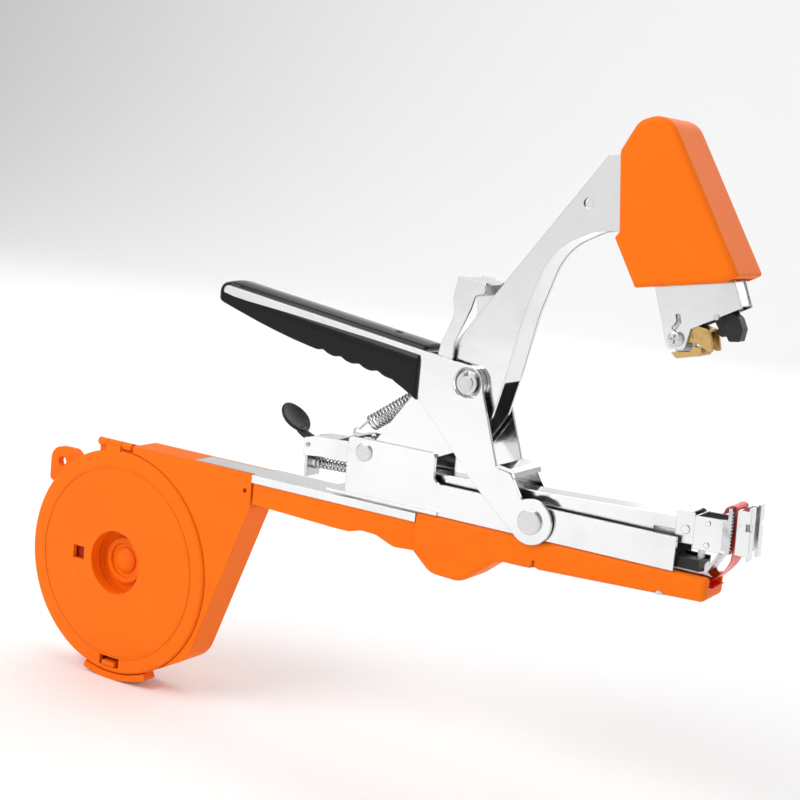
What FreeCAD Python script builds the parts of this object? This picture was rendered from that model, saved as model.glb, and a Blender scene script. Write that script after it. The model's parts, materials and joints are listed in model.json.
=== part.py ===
import FreeCAD, Part
import math
import os

# Plant-tying tape stapler.  Millimetres, +X forward to the nose, +Z up, the mid-plane is Y = 0 and
# the lid of the tape case is on the -Y side.  The design frame starts at the tape roll's centre;
# every shape is moved at the end so that the origin is the middle of the bottom of the whole tool.

V = FreeCAD.Vector

# ---- driving dimensions -------------------------------------------------------------------------
tape_width = 11.0
case_radius = 47.0            # round part of the tape case
case_wall = 2.0
lid_sheet = 2.0
lid_gap = 0.1                 # between the lid and the rim that it closes
roll_room = 9.5               # between a full roll and the outside of the case
core_radius = 15.0            # bore of the roll's core
core_wall = 2.0
spindle_fit = 0.08            # radial running clearance of the roll
rail_top = 50.0               # top face of the tape rail
rail_sheet = 0.8
rail_end = 141.5
base_half = 8.0               # half the outer width of the steel base channel
base_sheet = 1.2
base_bottom = 51.0
base_top = 62.3               # top edge of the low front walls
base_cheek_top = 73.0         # top edge of the high rear walls
base_rear = 110.0
base_step = 147.5             # where the high rear walls drop to the front walls
base_front = 240.5
tape_sheet = 0.3
arm_sheet = 1.2
side_play = 0.1               # between flat plates that slide past each other
bracket_sheet = 0.8
cover_sheet = 0.6             # sheet of the staple magazine
handle_sheet = 1.2
sleeve_sheet = 1.0
head_wall = 1.8
pin_fit = 0.05                # radial running clearance of pins
squeeze = 18.0                # degrees that the lever turns
closing = 20.0                # degrees that the clincher arm turns meanwhile
lift = 2.2                    # degrees that the staple magazine is held up by its spring
body_gap = 0.3                # least gap between pieces that move past each other

# ---- pivots, as (x, z) --------------------------------------------------------------------------
arm_pivot = (117.3, 68.1)
drive_point = (158.4, 100.4)    # the lever's pin in the arm's cam slot
lever_pivot = (188.3, 56.9)
catch_pivot = (231.0, 125.9)
tab_pivot = (90.0, 67.0)
presser_pivot = (243.6, 134.6)
cover_screw = (222.0, 166.0)
pin_radius = 2.5
lever_pin_radius = 3.0
rivet_radius = 2.0
catch_pin_radius = 1.4
lid_pin_radius = 0.8
tab_pin_radius = 0.8
presser_pin_radius = 0.9

# ---- half widths that follow from the tape ------------------------------------------------------
tape_half = tape_width / 2
roll_width = tape_width - 0.2
roll_radius = case_radius - roll_room
groove_half = tape_half + 0.15             # groove in the grip that the tape runs in
case_half = tape_half + case_wall          # the case without its lid
lid_face = case_half + 1.0
lid_back = lid_face - lid_sheet
lid_pivot = (1.3 - case_half, case_radius + 2.0)      # as (y, z)

# ---- half widths that follow from the stack of plates -------------------------------------------
grip_half = max(base_half, groove_half + 2.0) + 0.6
arm_half = base_half - base_sheet - side_play
arm_inner = arm_half - arm_sheet
tail_half = arm_inner - side_play
bracket_half = arm_inner - side_play / 2
cover_half = tail_half - bracket_sheet - side_play    # staple magazine
gate_half = max(tape_half + 0.7, cover_half + 1.7)    # band and gate at the nose
handle_half = grip_half + handle_sheet + 0.2          # steel lever
handle_inner = handle_half - handle_sheet
sleeve_half = handle_half + sleeve_sheet
head_half = handle_half + 2.4                         # head cover

# ---- lengths at the nose ------------------------------------------------------------------------
mag_front = base_front - 1.0
box_rear = base_front + 4.4
driver_x = base_front + 5.9
grip_front = base_front + 12.0
box_front = box_rear + 11.3
gate_x = box_front + 2.4      # where the tape stands up in the nose

nodes = {}


# ---- drawing helpers ----------------------------------------------------------------------------
def unit(a, b):
    length = math.hypot(b[0] - a[0], b[1] - a[1])
    return (b[0] - a[0]) / length, (b[1] - a[1]) / length


def outline(points):
    """A closed wire in the XZ plane; a point (x, z, r) is a corner rounded by an arc of radius r."""
    ends = []
    count = len(points)
    for i, point in enumerate(points):
        radius = point[2] if len(point) > 2 else 0.0
        before = unit(point, points[i - 1])
        after = unit(point, points[(i + 1) % count])
        half = 0.5 * math.acos(max(-1.0, min(1.0, before[0] * after[0] + before[1] * after[1])))
        if radius == 0.0 or half > math.pi / 2 - 1e-3:
            ends.append([V(point[0], 0, point[1])])
            continue
        reach = radius / math.tan(half)
        middle = unit((0.0, 0.0), (before[0] + after[0], before[1] + after[1]))
        away = radius / math.sin(half) - radius
        ends.append([V(point[0] + before[0] * reach, 0, point[1] + before[1] * reach),
                     V(point[0] + middle[0] * away, 0, point[1] + middle[1] * away),
                     V(point[0] + after[0] * reach, 0, point[1] + after[1] * reach)])
    edges = []
    for i, corner in enumerate(ends):
        if len(corner) == 3:
            edges.append(Part.Arc(*corner).toShape())
        following = ends[(i + 1) % count][0]
        if corner[-1].distanceToPoint(following) > 1e-6:
            edges.append(Part.LineSegment(corner[-1], following).toShape())
    return Part.Wire(edges)


def slab(points, low, high):
    """An outline in XZ carried along Y from low to high."""
    solid = Part.Face(outline(points)).extrude(V(0, high - low, 0))
    solid.translate(V(0, low, 0))
    return solid


def mid_slab(points, half):
    return slab(points, -half, half)


def plates(points, half, sheet):
    """Two equal side plates whose outer faces are 2 * half apart."""
    return [slab(points, -half, sheet - half), slab(points, half - sheet, half)]


def strip(path, thickness):
    """The closed outline of sheet that follows a path of (x, z, bend radius) points."""
    sides = ([], [])
    for i, point in enumerate(path):
        radius = point[2] if len(point) > 2 else 0.0
        ahead = unit(point, path[i + 1]) if i + 1 < len(path) else unit(path[i - 1], point)
        behind = unit(path[i - 1], point) if i > 0 else ahead
        turn = behind[0] * ahead[1] - behind[1] * ahead[0]
        share = 1.0 + behind[0] * ahead[0] + behind[1] * ahead[1]
        mitre = (-(behind[1] + ahead[1]) / share, (behind[0] + ahead[0]) / share)
        for side, sign in ((0, 0.5), (1, -0.5)):
            moved = sign * thickness
            bend = 0.0
            if radius and turn:
                bend = max(0.0, radius - math.copysign(moved, turn * sign))
            sides[side].append((point[0] + mitre[0] * moved, point[1] + mitre[1] * moved, bend))
    return sides[0] + sides[1][::-1]


def cross_slot(centre, reach, half, low, high):
    """Cross-shaped cutter for a screw's recess, with its axis along Y."""
    x, z = centre
    flat = block(x - reach, x + reach, low, high, z - half, z + half)
    return flat.fuse(block(x - half, x + half, low, high, z - reach, z + reach))


def block(x0, x1, y0, y1, z0, z1):
    return Part.makeBox(x1 - x0, y1 - y0, z1 - z0, V(x0, y0, z0))


def disc(centre, radius, low, high):
    """A round piece with its axis along Y."""
    return Part.makeCylinder(radius, high - low, V(centre[0], low, centre[1]), V(0, 1, 0))


def rod(start, end, radius):
    start, end = V(*start), V(*end)
    return Part.makeCylinder(radius, (end - start).Length, start, end - start)


def join(shapes):
    return shapes[0].multiFuse(shapes[1:]).removeSplitter()


def both_sides(shape):
    return [shape, shape.mirror(V(0, 0, 0), V(0, 1, 0))]


def rounded(shape, radius, wanted):
    """Fillet the edges whose middle point is wanted."""
    edges = []
    for edge in shape.Edges:
        middle = edge.valueAt((edge.FirstParameter + edge.LastParameter) / 2)
        if wanted(middle):
            edges.append(edge)
    return shape.makeFillet(radius, edges)


def turned(point, centre, degrees):
    """A point (x, z) turned about a centre, front end down for positive degrees."""
    angle = math.radians(degrees)
    x = point[0] - centre[0]
    z = point[1] - centre[1]
    return (centre[0] + x * math.cos(angle) + z * math.sin(angle),
            centre[1] - x * math.sin(angle) + z * math.cos(angle))


def lifted(shape):
    """Turn a piece drawn with the magazine pressed down to where the lift spring holds it."""
    shape = shape.copy()
    shape.rotate(V(arm_pivot[0], 0, arm_pivot[1]), V(0, 1, 0), -lift)
    return shape


def coil(start, end, mean_radius, wire_radius, turns):
    """A helical spring between two points."""
    start, end = V(*start), V(*end)
    length = (end - start).Length
    helix = Part.makeHelix(length / turns, length, mean_radius)
    section = Part.Wire(Part.makeCircle(wire_radius, V(mean_radius, 0, 0), V(0, 1, 0)))
    spring = Part.Wire(helix.Edges).makePipeShell([section], True, True)
    spring.Placement = FreeCAD.Placement(start, FreeCAD.Rotation(V(0, 0, 1), end - start))
    return spring


# ---- base channel, grip and tape rail -----------------------------------------------------------
floor_top = base_bottom + base_sheet
grip_shelf = rail_top - rail_sheet - 1.6       # top of the grip under the rail
rail_half = case_half + 0.4
grip_rear_half = rail_half - 0.6
case_front = 66.5
grip_rear = case_front + 1.0
screw_side = groove_half + 0.95
screw_places = [(x, y) for x in (base_front - 50.0, base_front - 4.0) for y in (-screw_side, screw_side)]
screw_radius = 0.9
screw_head_radius = 1.8
screw_head_z = 43.6
case_screw_place = (case_front - 3.0, 43.0)
case_screw_sink = 1.4         # depth of the screw's head in the case's back
tongue = (-4.0, 4.0, 39.5, 46.0)      # end of the grip inside the case, as y and z limits


def base_frame():
    wall = [(base_rear, base_bottom), (base_rear, base_cheek_top, 1.5),
            (base_step, base_cheek_top, 2.0), (base_step, base_top, 3.0),
            (base_front, base_top), (base_front, base_bottom)]
    floor = block(base_rear - 8.0, base_front, -base_half, base_half, base_bottom, floor_top)
    flange = block(base_rear - 8.0, base_step + 3.0, -grip_half, grip_half, base_bottom, floor_top)
    bridge = block(base_rear - 0.01, base_rear + 2.4, 0.5 - base_half, base_half - 0.5,
                   base_cheek_top - base_sheet, base_cheek_top)
    hook = block(base_rear - 3.0, base_rear, -1.6, 1.6, base_cheek_top - base_sheet, base_cheek_top)
    shape = join(plates(wall, base_half, base_sheet) + [floor, flange, bridge, hook])
    cuts = [disc(arm_pivot, rivet_radius, -20, 20),
            disc(lever_pivot, lever_pin_radius + pin_fit, -20, 20)]
    cuts += [rod((x, y, base_bottom - 1), (x, y, floor_top), screw_radius) for x, y in screw_places]
    return shape.cut(Part.makeCompound(cuts))


def lower_grip():
    bottom = [(grip_rear, 38.4), (106.0, 37.2, 20), (113.0, 37.2, 5), (118.5, 38.7, 5),
              (125.0, 38.5, 6), (133.0, 35.6, 6), (141.0, 36.2, 5), (149.5, 29.4, 8),
              (162.5, 29.0, 9), (176.0, 39.9, 9), (186.0, 40.0, 20)]
    rear = mid_slab([(grip_rear, grip_shelf)] + bottom[:7] + [(rail_end + 3, 36.0),
                    (rail_end + 3, grip_shelf)], grip_rear_half)
    split = rail_end + 0.8
    front = mid_slab([(split, base_bottom), (split, 35.4)] + bottom[7:]
                     + [(grip_front, 42.9, 2.0), (grip_front, base_bottom, 0.8)], grip_half)
    front = rounded(front, 2.0, lambda p: abs(abs(p.y) - grip_half) < 1e-3 and p.z < 43.5
                    and split + 1 < p.x < grip_front - 0.2)
    shape = join([rear, front, block(case_front - 6.0, grip_rear + 2, *tongue)])
    groove = block(split - 5, grip_front + 5, -groove_half, groove_half, grip_shelf, base_bottom + 5)
    cuts = [groove]
    for x, y in screw_places:
        cuts.append(rod((x, y, screw_head_z), (x, y, base_bottom + 5), screw_radius))
        cuts.append(rod((x, y, 35.0), (x, y, screw_head_z), screw_head_radius + 0.2))
    cuts.append(disc(case_screw_place, screw_radius, -20, 20))
    return shape.cut(Part.makeCompound(cuts))


def grip_screws():
    screws = []
    for x, y in screw_places:
        shank = rod((x, y, screw_head_z), (x, y, floor_top), screw_radius)
        head = rod((x, y, screw_head_z - 1.4), (x, y, screw_head_z), screw_head_radius)
        slot = block(x - 1.3, x + 1.3, y - 0.25, y + 0.25, screw_head_z - 1.5, screw_head_z - 0.8)
        across = block(x - 0.25, x + 0.25, y - 1.3, y + 1.3, screw_head_z - 1.5, screw_head_z - 0.8)
        screws.append(shank.fuse(head).cut(slot.fuse(across)))
    return Part.makeCompound(screws)


def tape_rail():
    top = block(case_front + 0.3, rail_end, -rail_half, rail_half, rail_top - rail_sheet, rail_top)
    tail = block(36.0, case_front + 1, -rail_half + 2.5, rail_half - 2.5, rail_top - rail_sheet, rail_top)
    lip = block(case_front + 0.3, rail_end, -rail_half, 0.6 - rail_half, rail_top - 3.2, rail_top)
    return join([top, tail] + both_sides(lip))


# ---- tape case, lid and roll --------------------------------------------------------------------
window = (-23.4, -17.4, -2.6, 2.9)
latch_slot = (-5.0, 5.6, 2.4 - case_radius, 6.6 - case_radius)
tongue_gap = 0.4
collar_radius = 13.2
ear_centre = (-0.736 * (case_radius + 5.0), 0.677 * (case_radius + 5.0))
ear_hole = 2.2
ear_sheet = 3.0
front_corner = (41.0, -31.5, 13.0)
front_knee = (case_front, 36.3)


def case_shape(inset, low, high):
    """The case's side outline, drawn in by inset, carried along Y."""
    round_part = disc((0, 0), case_radius - inset, low, high)
    lean = unit(front_corner, front_knee)
    shift = (-lean[1] * inset, lean[0] * inset)
    toe = (0.468 * case_radius, -0.885 * case_radius)
    toe_shift = unit(toe, (0, 0))
    front = slab([(5.0 + inset, rail_top - inset), (case_front - inset, rail_top - inset),
                  (front_knee[0] - inset, front_knee[1]),
                  (front_corner[0] + shift[0] * 1.1 - 0.6 * inset, front_corner[1] + inset, front_corner[2]),
                  (toe[0] + toe_shift[0] * inset, toe[1] + toe_shift[1] * inset), (0, 0),
                  (5.0 + inset, 40.0)], low, high)
    return round_part.fuse(front).removeSplitter()


def hinge_knuckle(x0, x1):
    y, z = lid_pivot
    return rod((x0, y, z), (x1, y, z), 1.6)


def tape_case():
    shell = case_shape(0.0, -case_half, case_half)
    shell = rounded(shell, 1.2, lambda p: p.y > case_half - 1e-3)
    pocket = disc((0, 0), case_radius - case_wall, -case_half - 1, case_half - case_wall)
    cheek = case_shape(case_wall, case_wall - case_half, case_half - case_wall)
    lid_seat = disc((0, 0), case_radius + body_gap, -case_half - 1, lid_gap - lid_back)
    rail_seat = block(35.8, case_front + 5, 2.4 - rail_half, rail_half - 2.4,
                      rail_top - rail_sheet, rail_top + 5)
    exit_slot = block(36.0, case_front + 5, -tape_half - 0.3, tape_half + 0.3,
                      grip_shelf, rail_top - rail_sheet)
    tongue_slot = block(case_front - 5, case_front + 5, *tongue)
    screw_hole = disc(case_screw_place, screw_radius, -20, 20)
    screw_seat = disc(case_screw_place, screw_head_radius + 0.1, case_half - case_screw_sink, case_half + 1)
    shell = shell.cut(Part.makeCompound([pocket, cheek]).removeSplitter())
    shell = shell.cut(lid_seat).cut(rail_seat).cut(exit_slot).cut(tongue_slot)
    x, z = ear_centre
    ear = slab([(x - 6.6, z - 9.5, 2), (x - 6.4, z + 6.2, 6.0), (x + 7.0, z + 6.4, 4),
                (-0.51 * case_radius, 0.766 * case_radius),
                (-0.702 * case_radius, 0.596 * case_radius)], -ear_sheet, 0.0)
    ear = ear.cut(disc((0, 0), case_radius - case_wall, -20, 20))
    spindle_radius = core_radius - spindle_fit
    spindle = disc((0, 0), spindle_radius, -3.0, case_half - 0.5)
    spindle = spindle.cut(disc((0, 0), spindle_radius - 2.0, -4.0, -1.0))
    ring = disc((0, 0), 9.6, -2.6, 0).cut(disc((0, 0), 7.4, -3.0, -1.6))
    dome = Part.makeSphere(9.0, V(0, 5.0, 0)).common(disc((0, 0), 5.4, -5.0, -1.2))
    lip = disc((0, 0), case_radius + 3.0, 0.2 - lid_face, -2.0)
    lip = lip.cut(disc((0, 0), case_radius + body_gap, -20, lid_gap - lid_back))
    lip = lip.cut(disc((0, 0), case_radius - 1.0, -20, 20))
    sector = slab([(0, 0), (-15.0, -52.0), (-6.0, -70.0), (30.0, -70.0), (20.5, -46.0)], -20, 20)
    lip = lip.common(sector)
    x0, x1, z0, z1 = latch_slot
    latch = block(x0 + 2.0, x1 - 2.0, -lid_face - 0.6, -case_half + 3.0, z0 + tongue_gap, z0 + 2.2)
    root = block(x0 + 2.0, x1 - 2.0, lid_gap - lid_back, -2.0, z0 - 1.4, z0 + 2.2)
    y, z = lid_pivot
    knuckles = []
    for start, end in ((-14.0, -9.0), (-1.0, 4.0)):
        knuckles.append(hinge_knuckle(start, end))
        knuckles.append(block(start, end, y, y + 4.0, case_radius - 3.0, z + 0.6))
    shell = join([shell, ear, spindle, ring, dome, lip, latch, root] + knuckles)
    holes = [disc(ear_centre, ear_hole, -20, 20), screw_hole, screw_seat,
             rod((-20, y, z), (20, y, z), lid_pin_radius)]
    return shell.cut(Part.makeCompound(holes))


def case_lid():
    face = disc((0, 0), case_radius, -lid_face, -lid_back)
    face = rounded(face, 1.3, lambda p: p.y < -lid_face + 1e-3)
    collar = disc((0, 0), collar_radius + 1.2, -lid_face, -3.4)
    bead = disc((0, 0), case_radius - 6.5, -lid_face - 0.25, -lid_face + 0.5)
    bead = bead.cut(disc((0, 0), case_radius - 7.3, -20, 20))
    tab = block(-8.8, -1.2, -lid_face + 0.2, -lid_back - 0.3, case_radius - 4.0, lid_pivot[1])
    shape = join([face, collar, bead, tab, hinge_knuckle(-8.8, -1.2)])
    x0, x1, z0, z1 = window
    u0, u1, w0, w1 = latch_slot
    y, z = lid_pivot
    holes = [disc((0, 0), collar_radius, -20, 20), block(x0, x1, -20, 0, z0, z1),
             block(u0, u1, -20, 0, w0, w1),
             rod((-20, y, z), (20, y, z), lid_pin_radius + pin_fit)]
    return shape.cut(Part.makeCompound(holes))


def lid_pin():
    y, z = lid_pivot
    return rod((-14.6, y, z), (4.6, y, z), lid_pin_radius)


def case_screw():
    seat = case_half - case_screw_sink
    shank = disc(case_screw_place, screw_radius, -4.5, seat + 0.01)
    head = disc(case_screw_place, screw_head_radius, seat, seat + 1.3)
    return shank.fuse(head).cut(cross_slot(case_screw_place, 1.2, 0.25, seat + 0.7, case_half + 1))


roll_low = -0.2 - roll_width / 2
roll_high = -0.2 + roll_width / 2


def roll_core():
    bore = disc((0, 0), core_radius, -20, 20)
    return disc((0, 0), core_radius + core_wall, roll_low, roll_high).cut(bore)


def tape_roll():
    bore = disc((0, 0), core_radius + core_wall, -20, 20)
    return disc((0, 0), roll_radius, roll_low, roll_high).cut(bore)


tape_z = rail_top - rail_sheet - 0.7
nose_turn = (grip_front - 3.0, tape_z)
tape_split = base_top + 0.1   # height at which the tape in the gate is a piece of its own


def tape_lead():
    reach = math.hypot(case_front - 5.0, tape_z)
    lean = math.atan2(tape_z, case_front - 5.0) + math.acos(roll_radius / reach)
    clear = roll_radius + body_gap + tape_sheet
    start = (clear * math.cos(lean), clear * math.sin(lean))
    path = [start, (case_front - 5.0, tape_z, 3.0), (nose_turn[0] + 0.8, tape_z, 3.0),
            (gate_x + 0.15, base_bottom + 5.6, 2.0), (gate_x + 0.15, tape_split)]
    return mid_slab(strip(path, tape_sheet), tape_half)


# ---- staple magazine (drawn pressed down, then lifted) ------------------------------------------
mag_bottom = 55.2
mag_top = 64.2
mag_rear = arm_pivot[0] - 5.0
rod_z = 59.7
staple_half = 3.0
staple_leg = 4.0
staple_wire = 0.5
guide_half = 4.6
driver_sheet = 0.5
pusher_rear = 150.0
pusher_length = 10.0
tail_rear = 88.0
tail_plate = 1.2
tail_top = 70.6
box_half = gate_half - 0.5


def magazine_channel():
    half = cover_half - cover_sheet - 0.05
    floor = block(mag_rear, box_rear, -half, half, mag_bottom, mag_bottom + cover_sheet)
    side = block(mag_rear, mag_front, -half, cover_sheet - half, mag_bottom, mag_bottom + 6.0)
    return lifted(join([floor] + both_sides(side)))


def magazine_cover():
    roof = block(pusher_rear - 15, mag_front, -cover_half, cover_half, mag_top - cover_sheet, mag_top)
    roof = rounded(roof, 0.5, lambda p: p.z > mag_top - 1e-3 and abs(abs(p.y) - cover_half) < 1e-3)
    ear = [(mag_rear, mag_bottom + 2.2, 1.0), (mag_rear, arm_pivot[1] + 3.4, 3.0),
           (arm_pivot[0] + 5.0, arm_pivot[1] + 3.4, 3.0), (arm_pivot[0] + 9.0, mag_top - 1.0, 2.0),
           (pusher_rear - 10, mag_top - 1.0), (pusher_rear - 10, mag_bottom + 2.2)]
    front = [(pusher_rear - 12, mag_bottom + 2.2), (pusher_rear - 12, mag_top - 0.3),
             (mag_front, mag_top - 0.3), (mag_front, mag_bottom + 4.4),
             (mag_front - 9.0, mag_bottom + 4.4, 0.5), (mag_front - 9.0, mag_bottom + 2.2, 0.5)]
    shape = join([roof] + plates(ear, cover_half, cover_sheet) + plates(front, cover_half, cover_sheet))
    return lifted(shape.cut(disc(arm_pivot, rivet_radius + pin_fit, -20, 20)))


def tail_bracket():
    side = [(tail_rear, 62.6), (tail_rear, 69.4, 1.0), (tail_rear + 5, tail_top, 4),
            (arm_pivot[0] + 4, tail_top, 3), (arm_pivot[0] + 6.0, 64.6, 2.0)]
    roof = block(tail_rear + 5, tail_rear + 15, 0.3 - tail_half, tail_half - 0.3,
                 tail_top - bracket_sheet, tail_top)
    rear = block(tail_rear, tail_rear + bracket_sheet, 0.3 - tail_half, tail_half - 0.3, 62.6, 65.0)
    ears = [(tail_rear, 68.0), (tail_rear, 64.4, 1.0), (tail_rear + 5, 64.4), (tail_rear + 5, 68.0)]
    shape = join(plates(side, tail_half, bracket_sheet) + [roof, rear]
                 + plates(ears, tail_half, bracket_sheet))
    shape = shape.cut(disc(arm_pivot, rivet_radius + pin_fit, -20, 20))
    return lifted(shape.cut(disc(tab_pivot, tab_pin_radius, -20, 20)))


def tail_end():
    plate = block(tail_rear, tail_rear + tail_plate, -4.2, 4.2, 54.4, 62.6)
    boss = rod((tail_rear + tail_plate, 0, rod_z), (tail_rear + tail_plate + 2.5, 0, rod_z), 2.6)
    return lifted(plate.fuse(boss).cut(rod((0, 0, rod_z), (300, 0, rod_z), 1.0)))


def guide_rod():
    return lifted(rod((tail_rear - 1.5, 0, rod_z), (mag_front - 4.0, 0, rod_z), 1.0))


def staple_pusher():
    half = cover_half - cover_sheet - 0.05 - cover_sheet - 0.15
    body = block(pusher_rear, pusher_rear + pusher_length, -half, half, mag_bottom + cover_sheet + 0.15,
                 mag_top - cover_sheet - 0.2)
    body = rounded(body, 0.4, lambda p: abs(abs(p.y) - half) < 1e-3 and p.z > mag_top - 2)
    return lifted(body.cut(rod((0, 0, rod_z), (300, 0, rod_z), 1.0 + pin_fit)))


def pusher_spring():
    start = (tail_rear + tail_plate + 2.9, 0, rod_z)
    return lifted(coil(start, (pusher_rear - 0.4, 0, rod_z), 1.9, 0.32, 24))


def staple_stick():
    low = mag_bottom + cover_sheet + 0.05
    rear = pusher_rear + pusher_length + body_gap
    front = mag_front - 1.0
    crown = block(rear, front, -staple_half, staple_half, low, low + staple_wire)
    leg = block(rear, front, -staple_half, staple_wire - staple_half, low, low + staple_leg)
    return lifted(join([crown] + both_sides(leg)))


def nose_plate():
    half = cover_half + 0.55
    top = mag_top + 2.0
    low = mag_bottom + 0.4
    wall = [(mag_front - 1.2, low), (mag_front - 1.2, top, 1.0),
            (box_rear - 0.1, top, 1.0), (box_rear - 0.1, low)]
    roof = block(mag_front - 0.2, box_rear - 1.2, 0.3 - half, half - 0.3, top - 0.5, top)
    shape = join(plates(wall, half, 0.5) + [roof])
    boss = both_sides(disc((mag_front + 2.3, mag_bottom + 5.0), 1.5, -half - 0.4, -half + 0.1))
    return lifted(join([shape] + boss))


def nose_box():
    low, high = mag_bottom - 0.8, mag_bottom + 10.1
    wall = [(box_rear, low), (box_rear, high, 0.5), (box_front, high, 0.5), (box_front, low)]
    back = block(box_rear, box_rear + 0.7, 0.4 - box_half, box_half - 0.4, low + 6.2, high)
    parts = plates(wall, box_half, 0.7) + [back]
    for z in (low + 1.8, high - 1.9):
        parts += both_sides(disc((box_rear + 4.6, z), 0.9, -box_half - 0.35, -box_half + 0.1))
    return lifted(join(parts))


def tooth_band():
    low, high = mag_bottom - 0.6, mag_bottom + 14.4
    plate = block(box_front, box_front + 1.2, -gate_half, gate_half, low, high)
    side = block(box_front - 1.6, box_front + 0.1, -gate_half, -box_half - 0.05, low + 1, high - 4)
    teeth = []
    for i in range(12):
        z = low + 1.2 + 1.1 * i
        tooth = [(box_front + 1.1, z), (box_front + 1.75, z + 0.4), (box_front + 1.1, z + 0.8)]
        for y in (-gate_half, gate_half - 1.5):
            teeth.append(slab(tooth, y, y + 1.5))
    return lifted(join([plate] + both_sides(side) + teeth))


def tape_gate():
    low, high = mag_bottom - 0.4, mag_bottom + 14.2
    inner = gate_x + 0.6
    back = block(inner, inner + 0.8, -gate_half, gate_half, low, high)
    rib = block(inner, inner + 4.6, -gate_half, 0.8 - gate_half, low, high)
    outer = block(inner + 3.8, inner + 4.6, -gate_half, 4.0 - gate_half, low - 1.2, high + 1.2)
    notch = block(inner + 3.0, inner + 9, -gate_half - 1, 1.6 - gate_half, low + 8.2, low + 10.6)
    mouth = block(inner - 1, inner + 2.0, -2.2, 2.2, high - 4.0, high + 1)
    shape = join([back] + both_sides(rib) + both_sides(outer))
    return lifted(shape.cut(mouth).cut(Part.makeCompound(both_sides(notch))))


def nose_tie():
    """Strap on the far side of the nose that ties the box, the band and the gate together."""
    low, high = mag_bottom - 0.6, mag_bottom + 9.4
    strap = block(box_front - 3.0, gate_x + 1.4, gate_half, gate_half + 0.7, low, high)
    foot = block(box_front - 3.0, box_front - 1.6, box_half, gate_half + 0.7, low + 2.0, high)
    return lifted(join([strap, foot]))


def tape_end():
    low, high = mag_bottom + 5.2, mag_bottom + 14.6
    path = [(gate_x - 0.05, low), (gate_x - 0.05, high + 0.6, 0.9), (box_front + 0.5, high + 0.6)]
    return lifted(mid_slab(strip(path, tape_sheet), tape_half - 0.9))


def release_tab():
    x, z = tab_pivot
    barrel = disc(tab_pivot, 1.9, -3.4, 3.4)
    neck = mid_slab([(x - 1.0, z - 1.5), (x + 1.2, z + 1.6), (x - 4.0, z + 5.2), (x - 6.6, z + 3.2)], 1.6)
    lean = FreeCAD.Rotation(V(0, 1, 0), 45.0)
    pad = Part.makeCylinder(7.0, 2.4, V(0, 0, 0), V(0, 0, 1))
    pad = rounded(pad, 0.9, lambda p: True)
    hollow = Part.makeSphere(17.0, V(0, 0, 18.3))
    pad = pad.cut(hollow)
    pad.Placement = FreeCAD.Placement(V(x - 11.0, 0, z + 7.5), lean)
    latch = mid_slab([(x - 0.6, z - 1.0), (x + 1.0, z - 1.2), (x + 6.0, z - 0.4), (x + 6.0, z + 0.9),
                      (x, z + 1.5)], 1.2)
    shape = join([barrel, neck, pad, latch])
    return lifted(shape.cut(disc(tab_pivot, tab_pin_radius + pin_fit, -20, 20)))


def tab_pin():
    return lifted(disc(tab_pivot, tab_pin_radius, -tail_half - 0.5, tail_half + 0.5))


def lift_spring():
    x = base_front - 20.0
    rise = (x - 2.8 - arm_pivot[0]) * math.sin(math.radians(lift))
    return coil((x, 0, floor_top + 0.4), (x, 0, mag_bottom + rise - 0.45), 2.4, 0.35, 4)


# ---- nose of the base ---------------------------------------------------------------------------
def driver_blade():
    return block(driver_x, driver_x + driver_sheet, -2.9, 2.9, base_bottom + 1.0, mag_bottom + 6.0)


def driver_block():
    low = floor_top
    body = block(base_front - 1.0, driver_x + 1.6, -4.6, 4.6, low, low + 2.6)
    rib = both_sides(block(base_front - 1.0, driver_x + 1.6, -5.4, -4.6, low, low + 3.6))
    slot = block(driver_x, driver_x + driver_sheet, -2.9, 2.9, low - 1, low + 9)
    return join([body] + rib).cut(slot)


def nose_guide():
    """Bent plate that carries on the base floor and turns the tape upwards."""
    path = [(base_front + 0.05, base_bottom + 0.6), (grip_front - 2.4, base_bottom + 0.6, 3.0),
            (grip_front + 1.6, base_bottom + 8.2)]
    plate = mid_slab(strip(path, 0.8), guide_half)
    cheek = [(driver_x + 3.4, base_bottom + 0.2), (grip_front - 3.0, base_bottom + 0.2, 2.0),
             (grip_front + 1.0, base_bottom + 8.0, 0.6), (driver_x + 3.4, base_bottom + 4.0, 1.0)]
    return join([plate] + plates(cheek, guide_half, 0.8))


# ---- clincher arm -------------------------------------------------------------------------------
back_low = (arm_pivot[0] + 3.5, arm_pivot[1] + 4.9)
back_lean = math.radians(53.8)


def back_edge(distance):
    """A point on the arm's straight back edge, measured up from its lower end."""
    return back_low[0] + distance * math.cos(back_lean), back_low[1] + distance * math.sin(back_lean)


inner_edge = [(172.0, 106.8, 60.0), (175.8, 126.0, 50.0), (183.5, 149.5, 22.0), (199.5, 157.9, 20.0)]


def cam_point(share):
    """Centre of the lever's pin in the arm's own frame, at a share of the squeeze from 0 to 1."""
    moved = turned(drive_point, lever_pivot, -squeeze * share)
    return turned(moved, arm_pivot, -closing * share)


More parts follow.
